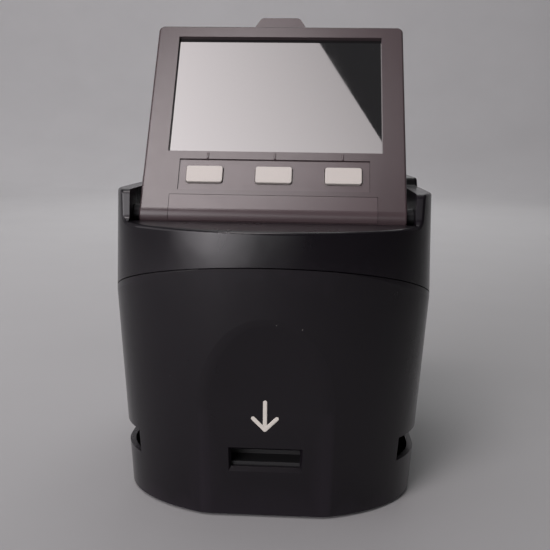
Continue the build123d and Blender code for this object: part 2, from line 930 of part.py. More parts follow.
with BuildPart() as film_gate:
    with BuildSketch(Plane.XY.offset(film_high)) as gate:
        with Locations((0, (gate_front_y + gate_back_y) / 2)):
            Rectangle(2 * gate_half_width, gate_back_y - gate_front_y)
        with Locations((0, optical_y)):
            Rectangle(2 * bed_half_width, 2 * bed_half_depth)
        with Locations((0, gate_front_y)):
            Rectangle(
                2 * (cup_half_width + gate_notch),
                cup_front_y + cup_depth + gate_notch - gate_front_y,
                align=(Align.CENTER, Align.MIN),
                mode=Mode.SUBTRACT,
            )
        with Locations((0, optical_y)):
            Rectangle(2 * window_half_x, 2 * window_half_y, mode=Mode.SUBTRACT)
        with Locations(*gate_screw_places, *tower_screw_places):
            Circle(screw_radius + pin_fit, mode=Mode.SUBTRACT)
    extrude(amount=gate_thickness)
    # rails along both sides of the film channel
    with BuildSketch(Plane.XY.offset(film_high)):
        with Locations((0, film_front_y - rail_width / 2), (0, film_back_y + rail_width / 2)):
            Rectangle(2 * bed_half_width, rail_width)
    extrude(amount=-rail_drop)
    add(mouth_walls())
save(film_gate, "film_gate")

gate_screws = pan_screws(Plane.XY.offset(gate_top).rotated((180, 0, 0)),
                         [(x, -y) for x, y in gate_screw_places],
                         gate_thickness + shelf_drop - boss_bite)
save(gate_screws, "gate_screws")

tower_screws = pan_screws(Plane.XY.offset(gate_top + tower_foot).rotated((180, 0, 0)),
                          [(x, -y) for x, y in tower_screw_places],
                          tower_foot + gate_thickness - 2 * fit)
save(tower_screws, "tower_screws")

cap_top = tower_top_z + tower_cap
sensor_places = [
    (x, optical_y + y) for x in (-sensor_post, sensor_post) for y in (-sensor_post, sensor_post)
]


def tower_level(height, half):
    """Square section of the optical tower, centred on the optical axis."""
    with BuildSketch(Plane.XY.offset(height)) as section:
        with Locations((0, optical_y)):
            Rectangle(2 * half, 2 * half)
    return section.sketch


with BuildPart() as optical_tower:
    loft(
        [tower_level(gate_top, tower_low_half), tower_level(tower_top_z, tower_top_half)],
        ruled=True,
    )
    extrude(tower_level(gate_top, tower_foot_half), amount=tower_foot)
    extrude(tower_level(tower_top_z, tower_cap_half), amount=tower_cap)
    loft(
        [
            tower_level(gate_top, tower_low_half - tower_wall),
            tower_level(tower_top_z, tower_top_half - tower_wall),
        ],
        ruled=True,
        mode=Mode.SUBTRACT,
    )
    with BuildSketch(Plane.XY.offset(tower_top_z)):
        with Locations((0, optical_y)):
            Circle(lens_radius + running_fit)
    extrude(amount=tower_cap, mode=Mode.SUBTRACT)
    with BuildSketch(Plane.XY.offset(cap_top)):
        with Locations(*sensor_places):
            Circle(sensor_post_radius)
    extrude(amount=lens_high - cap_top)
    with BuildSketch(Plane.XY.offset(lens_high)):
        with Locations(*sensor_places):
            Circle(sensor_screw_radius + pin_fit)
    extrude(amount=-sensor_screw_length, mode=Mode.SUBTRACT)
    with BuildSketch(Plane.XY.offset(gate_top)):
        with Locations(*tower_screw_places):
            Circle(screw_radius + pin_fit)
    extrude(amount=tower_foot, mode=Mode.SUBTRACT)
save(optical_tower, "optical_tower")

with BuildPart() as lens_barrel:
    with BuildSketch(Plane.XZ.offset(-optical_y)):
        with BuildLine():
            Polyline(
                (lens_bore - lens_lip, lens_low),
                (lens_radius, lens_low),
                (lens_radius, cap_top),
                (lens_flange_radius, cap_top),
                (lens_flange_radius, cap_top + lens_flange),
                (lens_radius, cap_top + lens_flange),
                (lens_radius, lens_high - fit),
                (lens_bore, lens_high - fit),
                (lens_bore, lens_low + lens_lip),
                (lens_bore - lens_lip, lens_low + lens_lip),
                close=True,
            )
        make_face()
    revolve(axis=Axis((0, optical_y, 0), (0, 0, 1)))
save(lens_barrel, "lens_barrel")

with BuildPart() as lens_glass:
    glass_low = lens_low + lens_lip
    with BuildSketch(Plane.XZ.offset(-optical_y)):
        with BuildLine():
            Line((glass_radius, glass_low), (glass_radius, glass_low + glass_edge))
            RadiusArc(
                (0, glass_low + glass_edge + glass_bulge),
                (glass_radius, glass_low + glass_edge),
                lens_curve,
            )
            Line((0, glass_low), (glass_radius, glass_low))
            Line((0, glass_low), (0, glass_low + glass_edge + glass_bulge))
        make_face()
    revolve(axis=Axis((0, optical_y, 0), (0, 0, 1)))
save(lens_glass, "lens_glass")

with BuildPart() as sensor_board:
    with BuildSketch(Plane.XY.offset(lens_high)):
        with Locations((0, optical_y)):
            RectangleRounded(2 * sensor_board_half, 2 * sensor_board_half, 1.5)
        with Locations(*sensor_places):
            Circle(sensor_screw_radius + pin_fit, mode=Mode.SUBTRACT)
    extrude(amount=board_thickness)
save(sensor_board, "sensor_board")

with BuildPart() as image_sensor:
    with BuildSketch(Plane.XY.offset(lens_high)):
        with Locations((0, optical_y)):
            Rectangle(sensor_size, sensor_size)
    extrude(amount=-sensor_thickness)
save(image_sensor, "image_sensor")


def plain_screws(plane, places, radius, head_radius, head, length):
    """Small cylinder-head screws that all enter a plane along its own direction."""
    with BuildPart() as screws:
        with BuildSketch(plane):
            with Locations(*places):
                Circle(radius)
        extrude(amount=length)
        with BuildSketch(plane):
            with Locations(*places):
                Circle(head_radius)
        extrude(amount=-head)
    return screws


downward = Plane((0, 0, lens_high + board_thickness), x_dir=(1, 0, 0), z_dir=(0, 0, -1))
sensor_screws = plain_screws(
    downward,
    [(x, -y) for x, y in sensor_places],
    sensor_screw_radius,
    2 * sensor_screw_radius,
    sensor_screw_radius,
    board_thickness + sensor_screw_length - fit,
)
save(sensor_screws, "sensor_screws")

# ---- main board and its sockets --------------------------------------------
with BuildPart() as main_board:
    with BuildSketch(Plane.XZ.offset(-board_back)):
        with Locations((0, (main_board_low + main_board_high) / 2)):
            RectangleRounded(2 * main_board_half, main_board_high - main_board_low, 1.5)
        with Locations(*board_places):
            Circle(screw_radius + pin_fit, mode=Mode.SUBTRACT)
    extrude(amount=board_thickness)
save(main_board, "main_board")

board_screws = pan_screws(
    Plane((0, main_board_y, 0), x_dir=(-1, 0, 0), z_dir=(0, 1, 0)),
    [(-x, z) for x, z in board_places],
    board_thickness + board_screw_length - fit,
)
save(board_screws, "board_screws")


def wall_face_y(across):
    """Outer face of the bowed back wall at socket level, measured across the back."""
    flank_end_x = half_width - flank_draw
    return back_y - back_bow * (across / flank_end_x) ** 2 - seat_lean


def socket(name, across, height, width, tall, has_tongue=False):
    """A metal socket shell on the main board, open towards the back."""
    with BuildPart() as shell:
        with BuildSketch(Plane.XZ.offset(-board_back)):
            with Locations((across, height)):
                RectangleRounded(width, tall, min(width, tall) / 4)
        extrude(amount=-(wall_face_y(across) - port_face - board_back))
        inside = (width - 2 * socket_lining, tall - 2 * socket_lining)
        with BuildSketch(Plane.XZ.offset(-board_back - socket_lining)):
            with Locations((across, height)):
                RectangleRounded(*inside, min(inside) / 5)
        extrude(amount=-back_y, mode=Mode.SUBTRACT)
        if has_tongue:
            with BuildSketch(Plane.XZ.offset(-board_back - socket_lining)):
                with Locations((across, height)):
                    Rectangle(width - 6 * socket_lining, tongue_plate)
            extrude(amount=-(wall_face_y(across) - 2 * port_face - board_back))
    save(shell, name)


socket("usb_socket", usb_x, port_z, usb_width, usb_height, has_tongue=True)
socket("video_socket", video_x, port_z, video_width, video_height, has_tongue=True)
socket("card_socket", card_x, card_z, card_width, card_height)

with BuildPart() as av_jack:
    with BuildSketch(Plane.XZ.offset(-board_back)):
        with Locations((jack_x, port_z)):
            Circle(jack_radius)
    extrude(amount=-(wall_face_y(jack_x) - port_face - board_back))
    with BuildSketch(Plane.XZ.offset(-board_back - socket_lining)):
        with Locations((jack_x, port_z)):
            Circle(jack_bore)
    extrude(amount=-back_y, mode=Mode.SUBTRACT)
save(av_jack, "av_jack")


# ---- display ---------------------------------------------------------------
# Local frames on the hinge line: in `panel` y runs up the display and z out of the
# screen; in `profile` x runs up the display, y out of the screen, and z along the hinge.
tilt = radians(display_tilt)
hinge_line = (0, hinge_y, hinge_z)
panel = Plane(hinge_line, x_dir=(1, 0, 0), z_dir=(0, -sin(tilt), cos(tilt)))
profile = Plane(hinge_line, x_dir=(0, cos(tilt), sin(tilt)), z_dir=(1, 0, 0))
skin = display_half_depth - bezel_wall
cavity_half = display_half_width - bezel_wall
cavity_low = display_half_depth + bezel_wall / 2
cavity_high = display_length - bezel_wall
boss_x = cavity_half - display_boss_radius / 2
display_boss_places = [
    (x, y)
    for x in (-boss_x, boss_x)
    for y in (cavity_low + display_boss_margin, cavity_high - display_boss_margin)
]


def display_outline(height, shrink=0.0):
    """Outline of the display above the hinge line, with its two rounded top corners."""
    with BuildSketch(panel.offset(height)) as outline:
        Rectangle(
            2 * (display_half_width - shrink),
            display_length - shrink,
            align=(Align.CENTER, Align.MIN),
        )
        top = outline.vertices().group_by(Axis.Y)[-1]
        fillet(top, display_corner)
    return outline.sketch


def upright_box(half, low, high, bottom, top):
    """A plain block in the display's own frame."""
    with BuildPart() as block:
        with BuildSketch(panel.offset(bottom)):
            with Locations((0, (low + high) / 2)):
                Rectangle(2 * half, high - low)
        extrude(amount=top - bottom)
    return block.part


def quarter_barrel(start):
    """Quarter of the hinge barrel, from a start angle, along the whole display."""
    with BuildPart() as quarter:
        with BuildSketch(profile):
            with BuildLine():
                rim = CenterArc((0, 0), display_half_depth, start, 90)
                Line(rim @ 1, (0, 0))
                Line((0, 0), rim @ 0)
            make_face()
        extrude(amount=display_half_width, both=True)
    return quarter.part


def rim_edges(piece, side):
    """Edges round one broad side of the display, and round the ends of its barrel."""

    def on_rim(edge):
        middle = panel.to_local_coords(edge.center())
        on_face = side * middle.Z > display_half_depth - 0.01 and middle.Y > 1
        on_barrel = edge.geom_type == GeomType.CIRCLE and middle.Y < 0
        return on_face or on_barrel

    return piece.edges().filter_by(on_rim)


def hinge_strip(gap):
    """Strip that lies flush over the barrel, or its pocket when given a gap."""
    outer = display_half_depth + (fit if gap else 0)
    inner = display_half_depth - strip_thickness - gap
    wrap = strip_wrap + degrees(gap / display_half_depth)
    with BuildPart() as strip:
        with BuildSketch(profile):
            with BuildLine():
                over = CenterArc((0, 0), outer, 90, wrap)
                under = CenterArc((0, 0), inner, 90, wrap)
                Line(over @ 1, under @ 1)
                Polyline(
                    over @ 0,
                    (strip_high + gap, outer),
                    (strip_high + gap, inner),
                    under @ 0,
                )
            make_face()
        extrude(amount=strip_half_width + gap, both=True)
    return strip.part


def pin_bores():
    """Bores in both ends of the barrel."""
    with BuildPart() as bores:
        with BuildSketch(profile):
            Circle(hinge_pin_radius + pin_fit)
        extrude(amount=display_half_width + 1, both=True)
        with BuildSketch(profile):
            Circle(hinge_pin_radius + 1)
        extrude(amount=display_half_width - pin_reach, both=True, mode=Mode.SUBTRACT)
    return bores.part


glass_low_edge = window_low - glass_lap
glass_high_edge = window_high + glass_lap
glass_half_width = window_half_width + glass_lap
key_flange = skin - key_panel_flange - running_fit
key_places = [(side * key_spacing, key_level) for side in (-1, 0, 1)]

with BuildPart() as display_bezel:
    extrude(display_outline(0), amount=display_half_depth)
    add(quarter_barrel(90))
    fillet(rim_edges(display_bezel, 1), rim_round)
    # finger tab on the top edge
    with BuildSketch(panel.offset(skin - tab_thickness + rim_round)) as tab:
        with BuildLine():
            Polyline(
                (-tab_base / 2, display_length - bezel_wall),
                (tab_base / 2, display_length - bezel_wall),
                (tab_base / 2, display_length),
                (tab_top / 2, display_length + tab_height),
                (-tab_top / 2, display_length + tab_height),
                (-tab_base / 2, display_length),
                close=True,
            )
        make_face()
        fillet(tab.vertices().group_by(Axis.Y)[-1], tab_height / 2.5)
    extrude(amount=tab_thickness)
    # inside
    add(upright_box(cavity_half, cavity_low, cavity_high, 0, skin), mode=Mode.SUBTRACT)
    add(
        upright_box(window_half_width, window_low, window_high, 0, 2 * display_half_depth),
        mode=Mode.SUBTRACT,
    )
    add(
        upright_box(
            key_panel_half_width, key_panel_low, key_panel_high, 0, 2 * display_half_depth
        ),
        mode=Mode.SUBTRACT,
    )
    add(hinge_strip(strip_gap), mode=Mode.SUBTRACT)
    add(pin_bores(), mode=Mode.SUBTRACT)
    with BuildSketch(panel):
        with Locations(*display_boss_places):
            Circle(display_boss_radius)
    extrude(amount=skin)
    with BuildSketch(panel):
        with Locations(*display_boss_places):
            Circle(screw_radius + pin_fit)
    extrude(amount=skin - strip_gap, mode=Mode.SUBTRACT)
save(display_bezel, "display_bezel")

with BuildPart() as display_back:
    extrude(display_outline(0), amount=-display_half_depth)
    add(quarter_barrel(180))
    fillet(rim_edges(display_back, -1), back_round)
    add(upright_box(cavity_half, cavity_low, cavity_high, -skin, 0), mode=Mode.SUBTRACT)
    add(pin_bores(), mode=Mode.SUBTRACT)
    with BuildSketch(panel):
        with Locations(*display_boss_places):
            Circle(display_boss_radius)
    extrude(amount=-skin)
    # ribs behind the screen, posts behind the key board
    for side in (-1, 1):
        rib_x = side * (window_half_width - screen_rib_inset)
        with BuildSketch(panel.offset(-skin)):
            with Locations((rib_x, (glass_low_edge + glass_high_edge) / 2)):
                Rectangle(bezel_wall, glass_high_edge - glass_low_edge - 2 * bezel_wall)
        extrude(amount=skin + skin - glass_thickness - screen_thickness)
    with BuildSketch(panel.offset(-skin)):
        with Locations((-key_spacing / 2, key_level), (key_spacing / 2, key_level)):
            Circle(display_boss_radius)
    extrude(amount=skin + key_board_top - thin_board)
    with BuildSketch(panel):
        with Locations(*display_boss_places):
            Circle(screw_radius + pin_fit)
    extrude(amount=-2 * display_half_depth, mode=Mode.SUBTRACT)
    with BuildSketch(panel.offset(-display_half_depth)):
        with Locations(*display_boss_places):
            Circle(screw_head_radius + fit)
    extrude(amount=screw_head + fit, mode=Mode.SUBTRACT)
save(display_back, "display_back")

display_rear = Plane(
    panel.offset(-display_half_depth + screw_head + fit).origin,
    x_dir=panel.x_dir,
    z_dir=panel.z_dir,
)
display_screws = pan_screws(
    display_rear, display_boss_places, display_half_depth - screw_head + skin - 1
)
save(display_screws, "display_screws")

with BuildPart() as hinge_cover:
    add(hinge_strip(0))
save(hinge_cover, "hinge_cover")

with BuildPart() as window_glass:
    add(
        upright_box(
            glass_half_width, glass_low_edge, glass_high_edge, skin - glass_thickness, skin
        )
    )
save(window_glass, "window_glass")

screen_front = skin - glass_thickness
with BuildPart() as lcd_panel:
    add(
        upright_box(
            glass_half_width,
            glass_low_edge,
            glass_high_edge + screen_foot,
            screen_front - screen_thickness,
            screen_front,
        )
    )
save(lcd_panel, "lcd_panel")

with BuildPart() as key_panel:
    add(
        upright_box(
            key_panel_half_width - running_fit,
            key_panel_low + running_fit,
            key_panel_high - running_fit,
            skin,
            display_half_depth - key_panel_sink,
        )
    )
    add(
        upright_box(
            key_panel_half_width + glass_lap,
            key_panel_low - running_fit,
            key_panel_high + key_panel_lap,
            skin - key_panel_flange,
            skin,
        )
    )
    with BuildSketch(panel):
        with Locations(*key_places):
            RectangleRounded(key_width + 2 * key_gap, key_height + 2 * key_gap, key_corner + key_gap)
    extrude(amount=2 * display_half_depth, mode=Mode.SUBTRACT)
save(key_panel, "key_panel")

key_top = display_half_depth - key_panel_sink + key_proud


def display_key(across, name):
    """One key: a rounded cap that passes the panel, on a wider foot behind it."""
    with BuildPart() as key:
        with BuildSketch(panel.offset(key_flange - key_foot)):
            with Locations((across, key_level)):
                RectangleRounded(key_width + 2 * key_foot, key_height + 2 * key_foot, key_corner)
        extrude(amount=key_foot)
        with BuildSketch(panel.offset(key_flange)):
            with Locations((across, key_level)):
                RectangleRounded(key_width, key_height, key_corner)
        extrude(amount=key_top - key_flange)
        rim = key.edges().filter_by(
            lambda edge: panel.to_local_coords(edge.center()).Z > key_top - 0.01
        )
        fillet(rim, key_edge)
    save(key, name)


display_key(-key_spacing, "key_left")
display_key(0, "key_centre")
display_key(key_spacing, "key_right")

with BuildPart() as key_board:
    add(
        upright_box(
            key_spacing + 2 * dome_radius,
            key_level - key_board_half,
            key_level + key_board_half,
            key_board_top - thin_board,
            key_board_top,
        )
    )
save(key_board, "key_board")

with BuildPart() as key_domes:
    with BuildSketch(panel.offset(key_board_top)):
        with Locations(*key_places):
            Circle(dome_radius)
    extrude(amount=dome_height)
save(key_domes, "key_domes")


# ---- hinge pins ------------------------------------------------------------
def hinge_pin(side, name):
    """A friction pin fixed in the side wall, turning in the end of the barrel."""
    inner = display_half_width - pin_reach + fit
    outer = well_half_width + pin_seat - fit
    with BuildPart() as pin:
        with BuildSketch(Plane.YZ.offset(side * inner)):
            with Locations((hinge_y, hinge_z)):
                Circle(hinge_pin_radius)
        extrude(amount=side * (outer - inner))
        with BuildSketch(Plane.YZ.offset(side * (display_half_width + fit))):
            with Locations((hinge_y, hinge_z)):
                Circle(washer_radius)
        extrude(amount=side * (well_half_width - display_half_width - 2 * fit))
    save(pin, name)


hinge_pin(-1, "hinge_pin_left")
hinge_pin(1, "hinge_pin_right")

# ---- power button ----------------------------------------------------------
power_base_x = power_floor_x + switch_height + power_travel + running_fit
power_share = (power_y - widest_y) / (back_y - back_bow - widest_y)
power_wall_x = drafted_half_width(power_z) - flank_draw * power_share**2

with BuildPart() as power_switch:
    with BuildSketch(Plane.YZ.offset(power_floor_x)):
        with Locations((power_y, power_z)):
            Circle(dome_radius)
    extrude(amount=switch_height)
save(power_switch, "power_switch")

with BuildPart() as power_button:
    with BuildSketch(Plane.YZ.offset(power_base_x)):
        with Locations((power_y, power_z)):
            Circle(power_radius + power_flange)
    extrude(amount=power_flange)
    with BuildSketch(Plane.YZ.offset(power_base_x)):
        with Locations((power_y, power_z)):
            Circle(power_radius)
    extrude(amount=power_wall_x + power_proud - power_base_x)
    fillet(power_button.edges().sort_by(Axis.X)[-1], power_proud)
save(power_button, "power_button")
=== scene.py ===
import json
import math

import bpy
import bmesh
from mathutils import Matrix, Vector
from mathutils.bvhtree import BVHTree


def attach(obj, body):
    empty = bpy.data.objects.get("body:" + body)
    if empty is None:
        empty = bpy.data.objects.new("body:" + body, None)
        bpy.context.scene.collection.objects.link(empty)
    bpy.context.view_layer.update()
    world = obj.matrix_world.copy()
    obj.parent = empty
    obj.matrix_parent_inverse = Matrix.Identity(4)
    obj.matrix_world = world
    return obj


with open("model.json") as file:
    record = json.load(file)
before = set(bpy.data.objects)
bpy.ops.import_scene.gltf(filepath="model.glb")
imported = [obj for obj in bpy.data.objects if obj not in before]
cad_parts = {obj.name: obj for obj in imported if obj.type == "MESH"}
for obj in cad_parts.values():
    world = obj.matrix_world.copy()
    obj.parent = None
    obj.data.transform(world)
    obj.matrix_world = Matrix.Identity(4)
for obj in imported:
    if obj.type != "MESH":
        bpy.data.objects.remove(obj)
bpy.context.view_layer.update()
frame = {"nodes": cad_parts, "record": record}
nodes = frame["nodes"]

MM = 0.001

# ---- the display's hinge line, tilt and front face in the CAD, in millimetres ----
HINGE_Y = -31.7
HINGE_Z = 107.0
TILT = math.radians(58.85)
DISPLAY_FRONT = 5.5
ALONG = Vector((0, math.cos(TILT), math.sin(TILT)))
OUT = Vector((0, -math.sin(TILT), math.cos(TILT)))

# ---- colours, linear ----------------------------------------------------------
BODY = (0.0054, 0.0042, 0.0060)
INNER = (0.010, 0.010, 0.011)
TAUPE = (0.053, 0.0375, 0.0405)
BEIGE = (0.46, 0.43, 0.40)
PRINT = (0.57, 0.54, 0.49)
FLOOR = (0.36, 0.36, 0.364)
# Far end of the floor's colour ramp: the floor pales towards the back by painted light.
FAR_FLOOR_PAINTED_LIGHT = (0.92, 0.91, 0.92)


# ---- node helpers ---------------------------------------------------------------
class Graph:
    """A material's node tree with short calls for the nodes used here."""

    def __init__(self, name):
        self.material = bpy.data.materials.new(name)
        self.material.use_nodes = True
        self.tree = self.material.node_tree
        self.shader = self.tree.nodes["Principled BSDF"]
        self.place = self.add("ShaderNodeTexCoord").outputs["Object"]

    def add(self, kind, **settings):
        node = self.tree.nodes.new(kind)
        for key, value in settings.items():
            setattr(node, key, value)
        return node

    def link(self, source, target):
        self.tree.links.new(source, target)

    def set(self, **values):
        """Plain values on the shader's own sockets."""
        for key, value in values.items():
            self.shader.inputs[key.replace("_", " ")].default_value = value

    def noise(self, scale, detail=2.0, roughness=0.5, stretch=None):
        node = self.add("ShaderNodeTexNoise")
        node.inputs["Scale"].default_value = scale
        node.inputs["Detail"].default_value = detail
        node.inputs["Roughness"].default_value = roughness
        self.link(self.stretched(stretch), node.inputs["Vector"])
        return node.outputs["Fac"]

    def stretched(self, stretch):
        if stretch is None:
            return self.place
        node = self.add("ShaderNodeMapping")
        node.inputs["Scale"].default_value = stretch
        self.link(self.place, node.inputs["Vector"])
        return node.outputs["Vector"]

    def ramp(self, value, low, high, to_low=0.0, to_high=1.0):
        node = self.add("ShaderNodeMapRange")
        for key, number in (("From Min", low), ("From Max", high),
                            ("To Min", to_low), ("To Max", to_high)):
            node.inputs[key].default_value = number
        self.link(value, node.inputs["Value"])
        return node.outputs["Result"]

    def maths(self, operation, first, second):
        node = self.add("ShaderNodeMath", operation=operation)
        for socket, value in zip(node.inputs, (first, second)):
            if isinstance(value, (int, float)):
                socket.default_value = value
            else:
                self.link(value, socket)
        return node.outputs["Value"]

    def mix(self, factor, first, second):
        node = self.add("ShaderNodeMix", data_type="RGBA")
        factor_in, a_in, b_in = node.inputs[0], node.inputs[6], node.inputs[7]
        for socket, value in ((factor_in, factor), (a_in, first), (b_in, second)):
            if isinstance(value, (int, float)):
                socket.default_value = value
            elif isinstance(value, tuple):
                socket.default_value = (*value, 1.0)
            else:
                self.link(value, socket)
        return node.outputs[2]

    def specks(self, scale, radius, share, seed_shift):
        """Small scattered dots: 1 on a speck and 0 elsewhere."""
        shift = self.add("ShaderNodeVectorMath", operation="ADD")
        shift.inputs[1].default_value = (seed_shift, seed_shift * 2, seed_shift * 3)
        self.link(self.place, shift.inputs[0])
        cells = self.add("ShaderNodeTexVoronoi")
        cells.inputs["Scale"].default_value = scale
        self.link(shift.outputs["Vector"], cells.inputs["Vector"])
        split = self.add("ShaderNodeSeparateColor")
        self.link(cells.outputs["Color"], split.inputs["Color"])
        chosen = self.maths("LESS_THAN", split.outputs["Red"], share)
        size = self.maths("MULTIPLY", split.outputs["Green"], radius)
        near = self.maths("LESS_THAN", cells.outputs["Distance"], size)
        return self.maths("MULTIPLY", chosen, near)

    def bump(self, heights):
        """Chain of bumps, each (value, strength, distance in metres)."""
        normal = None
        for value, strength, distance in heights:
            node = self.add("ShaderNodeBump")
            node.inputs["Strength"].default_value = strength
            node.inputs["Distance"].default_value = distance
            self.link(value, node.inputs["Height"])
            if normal is not None:
                self.link(normal, node.inputs["Normal"])
            normal = node.outputs["Normal"]
        self.link(normal, self.shader.inputs["Normal"])

    def edges(self, low=0.52, high=0.6):
        """1 along raised edges, 0 elsewhere."""
        geometry = self.add("ShaderNodeNewGeometry")
        return self.ramp(geometry.outputs["Pointiness"], low, high)


def moulded_black(name, colour, rough, dust):
    """Satin moulded plastic: fine grain, faint smears, dust, and raised edges lightened partly as
    wear and partly as a painted highlight.
    """
    g = Graph(name)
    broad = g.noise(22.0, 3.0, 0.55)
    grain = g.noise(5200.0, 2.0)
    tone = g.ramp(broad, 0.3, 0.7, 0.85, 1.2)
    base = g.mix(tone, (0, 0, 0), colour)
    # Raised edges lightened fourfold: partly wear, partly a painted highlight along the seam and
    # rim edges.
    edge_lift = g.maths("MULTIPLY", g.edges(), 0.35)
    base = g.mix(edge_lift, base, tuple(c * 4.0 for c in colour))
    dots = g.specks(340.0, 0.075, dust, 0.37)
    lint = g.specks(150.0, 0.035, dust, 1.91)
    dots = g.maths("MAXIMUM", dots, lint)
    base = g.mix(g.maths("MULTIPLY", dots, 0.5), base, (0.30, 0.29, 0.28))
    g.link(base, g.shader.inputs["Base Color"])
    smear = g.noise(60.0, 4.0, 0.6, (1.0, 1.0, 0.35))
    rough_map = g.ramp(smear, 0.3, 0.7, rough - 0.035, rough + 0.045)
    rough_map = g.maths("ADD", rough_map, g.maths("MULTIPLY", dots, 0.4))
    g.link(rough_map, g.shader.inputs["Roughness"])
    g.bump([(grain, 0.10, 0.00004), (g.noise(900.0, 2.0), 0.06, 0.0001),
            (dots, 0.4, 0.00003)])
    g.set(IOR=1.5, Specular_IOR_Level=0.15, Coat_Weight=0.42, Coat_Roughness=0.13,
          Coat_IOR=1.5)
    return g.material


def fine_paint(name, colour, rough, edge_lift_share=0.25):
    """Matte painted plastic with a fine grain and slight shifts of tone."""
    g = Graph(name)
    broad = g.noise(35.0, 3.0, 0.5)
    fine = g.noise(3800.0, 2.0, 0.6)
    tone = g.ramp(broad, 0.3, 0.7, 0.97, 1.03)
    base = g.mix(tone, (0, 0, 0), colour)
    base = g.mix(g.ramp(fine, 0.35, 0.7, 0.0, 0.16), base, tuple(c * 1.35 for c in colour))
    # Raised edges made lighter by the given share.
    edge_lift = g.maths("MULTIPLY", g.edges(), edge_lift_share)
    base = g.mix(edge_lift, base, tuple(min(1.0, c * 1.9) for c in colour))
    dots = g.specks(260.0, 0.05, 0.02, 0.71)
    base = g.mix(g.maths("MULTIPLY", dots, 0.45), base, (0.42, 0.41, 0.40))
    g.link(base, g.shader.inputs["Base Color"])
    g.link(g.ramp(g.noise(240.0, 3.0), 0.3, 0.7, rough - 0.012, rough + 0.018),
           g.shader.inputs["Roughness"])
    g.bump([(fine, 0.16, 0.00004), (g.noise(9000.0, 1.0), 0.08, 0.00002)])
    return g.material


def plated(name, colour, rough):
    """Plated or blackened metal with fine drawn streaks."""
    g = Graph(name)
    streaks = g.noise(1400.0, 3.0, 0.6, (1.0, 1.0, 0.12))
    tone = g.ramp(streaks, 0.3, 0.7, 0.86, 1.08)
    g.link(g.mix(tone, (0, 0, 0), colour), g.shader.inputs["Base Color"])
    g.link(g.ramp(streaks, 0.3, 0.7, rough - 0.06, rough + 0.1), g.shader.inputs["Roughness"])
    g.set(Metallic=1.0)
    g.bump([(streaks, 0.12, 0.00003)])
    return g.material


def cover_glass(name):
    """Dark polished cover with a fine haze and scattered dust."""
    g = Graph(name)
    haze = g.noise(70.0, 4.0, 0.6)
    dots = g.specks(520.0, 0.07, 0.05, 0.53)
    base = g.mix(g.maths("MULTIPLY", dots, 0.6), (0.008, 0.0078, 0.0085),
                 (0.35, 0.34, 0.33))
    g.link(base, g.shader.inputs["Base Color"])
    rough = g.ramp(haze, 0.35, 0.75, 0.02, 0.05)
    g.link(g.maths("ADD", rough, g.maths("MULTIPLY", dots, 0.5)), g.shader.inputs["Roughness"])
    g.set(IOR=1.56, Coat_Weight=1.0, Coat_Roughness=0.015, Coat_IOR=1.5)
    g.bump([(g.noise(900.0, 2.0), 0.02, 0.00002)])
    return g.material


def clear_glass(name, tint, rough=0.02, through=1.0):
    """Glass with a faint haze, clear or, with through 0, a dark polished cover."""
    g = Graph(name)
    g.set(IOR=1.5, Transmission_Weight=through)
    haze = g.noise(160.0, 3.0)
    g.link(g.mix(g.ramp(haze, 0.3, 0.8, 0.0, 0.08), tint, (0.7, 0.7, 0.7)),
           g.shader.inputs["Base Color"])
    g.link(g.ramp(haze, 0.3, 0.8, rough, rough + 0.03), g.shader.inputs["Roughness"])
    return g.material


def soft_rubber(name):
    """Matte black rubber with a fine grain."""
    g = Graph(name)
    fine = g.noise(2600.0, 3.0, 0.6)
    g.link(g.mix(g.ramp(fine, 0.3, 0.7, 0.0, 1.0),
                 (0.012, 0.012, 0.012), (0.024, 0.024, 0.024)),
           g.shader.inputs["Base Color"])
    g.link(g.ramp(g.noise(300.0), 0.3, 0.7, 0.72, 0.86), g.shader.inputs["Roughness"])
    g.bump([(fine, 0.25, 0.00006)])
    return g.material


def plain_plastic(name, colour, rough):
    """Plain moulded plastic with slight shifts of tone."""
    g = Graph(name)
    fine = g.noise(2400.0, 3.0, 0.55)
    broad = g.noise(60.0, 3.0)
    tone = g.ramp(broad, 0.3, 0.7, 0.93, 1.04)
    g.link(g.mix(tone, (0, 0, 0), colour), g.shader.inputs["Base Color"])
    g.link(g.ramp(broad, 0.3, 0.7, rough - 0.04, rough + 0.06), g.shader.inputs["Roughness"])
    g.bump([(fine, 0.14, 0.00005)])
    return g.material


def board(name):
    """Solder-masked circuit board with faint tracks under the mask."""
    g = Graph(name)
    tracks = g.add("ShaderNodeTexBrick")
    tracks.inputs["Scale"].default_value = 260.0
    tracks.inputs["Color1"].default_value = (0.012, 0.11, 0.05, 1)
    tracks.inputs["Color2"].default_value = (0.014, 0.125, 0.057, 1)
    tracks.inputs["Mortar"].default_value = (0.02, 0.19, 0.09, 1)
    g.link(g.place, tracks.inputs["Vector"])
    g.link(tracks.outputs["Color"], g.shader.inputs["Base Color"])
    g.link(g.ramp(g.noise(400.0), 0.3, 0.7, 0.28, 0.42), g.shader.inputs["Roughness"])
    g.bump([(tracks.outputs["Fac"], 0.2, 0.00003)])
    return g.material


